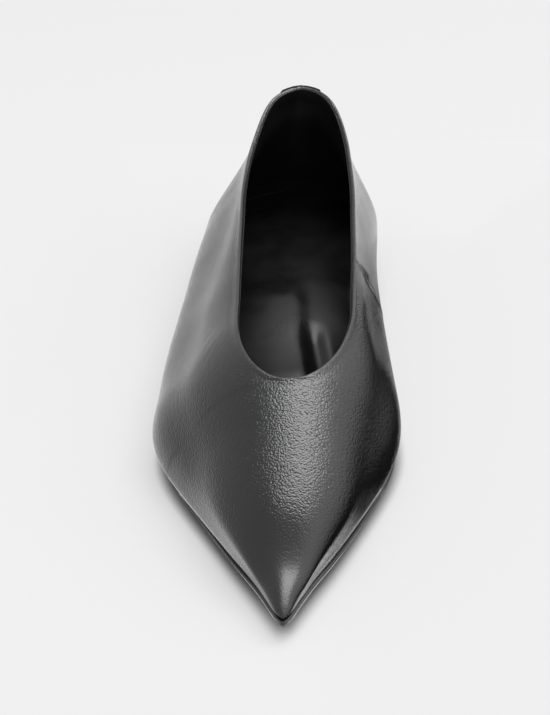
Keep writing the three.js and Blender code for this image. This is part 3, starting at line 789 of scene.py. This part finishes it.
# This attribute holds wear at the tip and a painted highlight along the fold and the seam.
wear_and_sheen_layer = skin.attributes.new("wear_and_sheen", "FLOAT", "POINT")
wear_and_sheen_values = np.where(leather, np.clip(wear_and_sheen_share, 0, 1), 0).astype(np.float32)
wear_and_sheen_layer.data.foreach_set("value", wear_and_sheen_values)
skin.vertices.foreach_set("co", (skin_places * MM).ravel())
skin.update()
print("worn on", round(100 * (wear_and_sheen_values > 0.1).mean()), "% of the corners")

# %% [markdown]
# ## Insole
#
# The insole is a thin leather sock over a board. Wear has raised a ridge along its middle under
# the ball of the foot. The leather steps down from the ridge to the big-toe side, swells a little
# beyond it and falls off to the wall. The seat behind it leans the same way, is wider than the
# board, and curls up where it meets the wall. Cloth could be simulated over a foot, but the forms
# are few, so the shape is smoothed from the CAD and pressed in the same way as the creases.

# %% Smooth the insole and refine its trodden place
insole_shape = quads_from("insole")
insole_finish = [finish["insole_leather"]]
insole = add_piece(
    insole_shape, "insole_skin", insole_finish, ["insole"], levels=3
)
print("insole passes its CAD corners within", let_out(insole, most=1.2), "mm")
bake_modifiers(insole)


def trodden_place(place, _):
    return -26 < place.x < 26 and -122 < place.y < -46 and place.z > 6


refine(insole, trodden_place, 2)
print("insole has", len(insole.data.polygons), "faces")

# %% Widen the insole's seat
SEAT_CENTRE = (-0.3, -6)
SEAT_STARTS, SEAT_FULL = -78, -42
SEAT_WIDER, SEAT_LONGER = 0.19, 0.157
# The edge curls up by EDGE_CURL where the seat is this wide to each side and this long behind.
SEAT_HALF_WIDTH, SEAT_BACK, EDGE_CURL = 28.5, 31, 0.5
# A soft rise across the front of the seat.
RISE_HEIGHT, RISE_AT, RISE_WIDTH = 1.9, -67, 22

sock = insole.data
sock_places = read(sock, "co") / MM
faces_up = np.clip(read(sock, "normal")[:, 2] * 2, 0, 1)
seat = soft_step(sock_places[:, 1], SEAT_STARTS, SEAT_FULL)
from_centre = sock_places[:, :2] - SEAT_CENTRE
from_centre[:, 0] *= 1 + SEAT_WIDER * seat
from_centre[:, 1] *= np.where(from_centre[:, 1] > 0, 1 + SEAT_LONGER, 1)
sock_places[:, :2] = SEAT_CENTRE + from_centre

x, y = sock_places[:, 0], sock_places[:, 1]
behind_centre = np.clip(from_centre[:, 1], 0, None)
to_edge = (from_centre[:, 0] / SEAT_HALF_WIDTH) ** 2 + (behind_centre / SEAT_BACK) ** 2
sock_rise = faces_up * seat * EDGE_CURL * to_edge**3
sock_rise += faces_up * RISE_HEIGHT * hill(y - RISE_AT, RISE_WIDTH)
print("seat is", round(float(np.ptp(x[seat > 0.99])), 1), "mm wide")

# %% Press the trodden place
# The step's line as y and x. Further numbers are how far past that line a form starts and ends.
STEP = [(-60, 4.6), (-74, 5.3), (-84, 5.9), (-100, 8.0), (-112, 9.8)]
RIDGE_HEIGHT, RIDGE = 1.8, (-30, -4.6)
STEP_DEPTH, STEP_DEPTH_BEHIND, STEP_OVER = 3.5, 2.2, (-4.6, 3.4)
SWELL_UP, SWELL_OVER = 1.05, (2.8, 7.4)
WALL_FALL, WALL_FALL_OVER = 1.45, (8, 15.5)
LEAN_FALL, LEAN_OVER = 1.8, (3, 17)
# Along the shoe, from y to y: where the trodden place starts and ends, where its front part
# starts, and where the seat starts to lean.
TRODDEN_STARTS, TRODDEN_ENDS = (-42, -64), (-118, -102)
FRONT_STARTS, LEAN_STARTS = (-72, -85), (-6, -44)


def straight_step(value, start, end):
    """0 at the start, 1 at the end, and straight between them."""
    return np.clip((value - start) / (end - start), 0, 1)


step_ys, step_xs = np.array(STEP[::-1]).T
past = x - np.interp(y, step_ys, step_xs)
trodden = faces_up * soft_step(y, *TRODDEN_STARTS) * soft_step(y, *TRODDEN_ENDS)
in_front = soft_step(y, *FRONT_STARTS)
step = soft_step(past, *STEP_OVER)
front_fall = STEP_DEPTH * step - SWELL_UP * soft_step(past, *SWELL_OVER)
front_fall += WALL_FALL * straight_step(past, *WALL_FALL_OVER)
fall = in_front * front_fall + (1 - in_front) * STEP_DEPTH_BEHIND * step
sock_rise += trodden * (RIDGE_HEIGHT * soft_step(past, *RIDGE) - fall)
leaning = faces_up * (1 - in_front) * soft_step(y, *LEAN_STARTS)
sock_rise -= leaning * LEAN_FALL * straight_step(past, *LEAN_OVER)
sock_places[:, 2] += sock_rise
sock.vertices.foreach_set("co", (sock_places * MM).ravel())
sock.update()
lowest, highest = float(sock_rise.min()), float(sock_rise.max())
print("insole moved by", round(lowest, 2), "to", round(highest, 2), "mm")

# %% [markdown]
# ## Sole, heel and the pieces inside the back
#
# The sole, the heel and its top piece have plain forms, so their CAD shapes are only smoothed,
# with their edges kept firm by creases in the cage. The heel grip and the tab are thin leather.
# A shoemaker skives such leather, shaving its edges thin so that they don't show as a step, and
# here their points are laid against the upper near every edge.

# %% Thin the edges of thin leather
# How far from an edge a piece thins, and by what share it is laid against the upper elsewhere.
SKIVE = {"heel_grip": (9, 0.0), "back_tab": (0.8, 0.4)}
EDGE_LEFT = 0.12


def points_on(edges):
    """Points in mm, close together, on some edges."""
    ends = [[np.array(vertex.co) / MM for vertex in edge.verts] for edge in edges]
    return np.concatenate([fill_in(pair) for pair in ends])


def skive(piece, rim, reach, everywhere):
    """Lays a thin piece against the upper, fully at its edges and by a share everywhere."""
    tree = tree_of(rim)
    for vertex in piece.data.vertices:
        gap = tree.find(vertex.co / MM)[2]
        pull = 1 - float(soft_step(gap, 0, reach)) * (1 - everywhere)
        way = upper.closest_point_on_mesh(vertex.co)[1] - vertex.co
        if pull > 0 and way.length > EDGE_LEFT * MM:
            vertex.co += way * (1 - EDGE_LEFT * MM / way.length) * pull
    piece.data.update()


print("thinned edges keep", EDGE_LEFT, "mm")

# %% Other pieces
# Node, finish, slot, and how firm its edges stay when it is smoothed.
for node, finish_name, slot, firm in (
    ("outsole", "sole_leather", "sole", 0.75),
    ("heel", "sole_leather", "sole", 0.85),
    ("top_piece", "top_piece_rubber", "top_piece_rubber", 0.85),
    ("heel_grip", "lining_leather", "lining_leather", 0.6),
    ("back_tab", "tab_leather", "upper_leather", 0.6),
):
    shape = quads_from(node)
    firmness = shape.edges.layers.float.new("crease_edge")
    edges = sharp_edges(shape)
    for edge in edges:
        edge[firmness] = firm
    rim = points_on(edges)
    piece = add_piece(shape, node + "_skin", [finish[finish_name]], [node], levels=2)
    print(node, "passes its CAD corners within", let_out(piece), "mm")
    if node in SKIVE:
        bake_modifiers(piece)
        skive(piece, rim, *SKIVE[node])

# %% [markdown]
# ## Stitches
#
# The tab is sewn down along both sides. Each stitch is one small bead of thread, half sunk in
# the leather. A curve with a row of beads would do too, but copies of one bead in one mesh are
# lighter.

# %% Stitches
STITCH_WIDTH = 0.5
STITCH_SHARE = 0.72  # of the way from one hole to the next
THREAD_PROUD = 0.12
BACKWARDS = Vector((0, 1, 0))
# The rows' x at their lower and upper ends, and the height of those ends.
TAB_ROWS = ((-5.2, -2.4), (8.2, 11.2))
ROW_BOTTOM, ROW_TOP = 33.5, 60.5
BEHIND_TAB = 60
HOLES = 15


def row_behind(piece, start, end):
    """Evenly spaced points of a piece's back, where rays from behind a straight row meet it."""
    points = []
    for i in range(HOLES):
        ray_start = start.lerp(end, i / (HOLES - 1)) * MM
        hit, point, _, _ = piece.ray_cast(ray_start, -BACKWARDS)
        if hit:
            points.append(point / MM)
    return points


def sew(points):
    """A row of beads through the points, each turned along the row."""
    shape = bmesh.new()
    for start, end in zip(points, points[1:]):
        run = end - start
        ball = bmesh.ops.create_uvsphere(shape, u_segments=6, v_segments=4, radius=0.5 * MM)
        bead = ball["verts"]
        size = (STITCH_WIDTH, STITCH_WIDTH, STITCH_SHARE * run.length)
        bmesh.ops.scale(shape, vec=size, verts=bead)
        turn = run.to_track_quat("Z", "Y").to_matrix()
        bmesh.ops.rotate(shape, cent=(0, 0, 0), matrix=turn, verts=bead)
        middle = (start + end) / 2 + BACKWARDS * THREAD_PROUD
        bmesh.ops.translate(shape, vec=middle * MM, verts=bead)
    return shape


tab = bpy.data.objects["back_tab_skin"]
for number, (low_x, high_x) in enumerate(TAB_ROWS, 1):
    low_end = Vector((low_x, BEHIND_TAB, ROW_BOTTOM))
    high_end = Vector((high_x, BEHIND_TAB, ROW_TOP))
    holes = row_behind(tab, low_end, high_end)
    add_piece(sew(holes), f"tab_stitches_{number}", [finish["thread"]])
    print("tab row", number, "has", len(holes) - 1, "stitches")
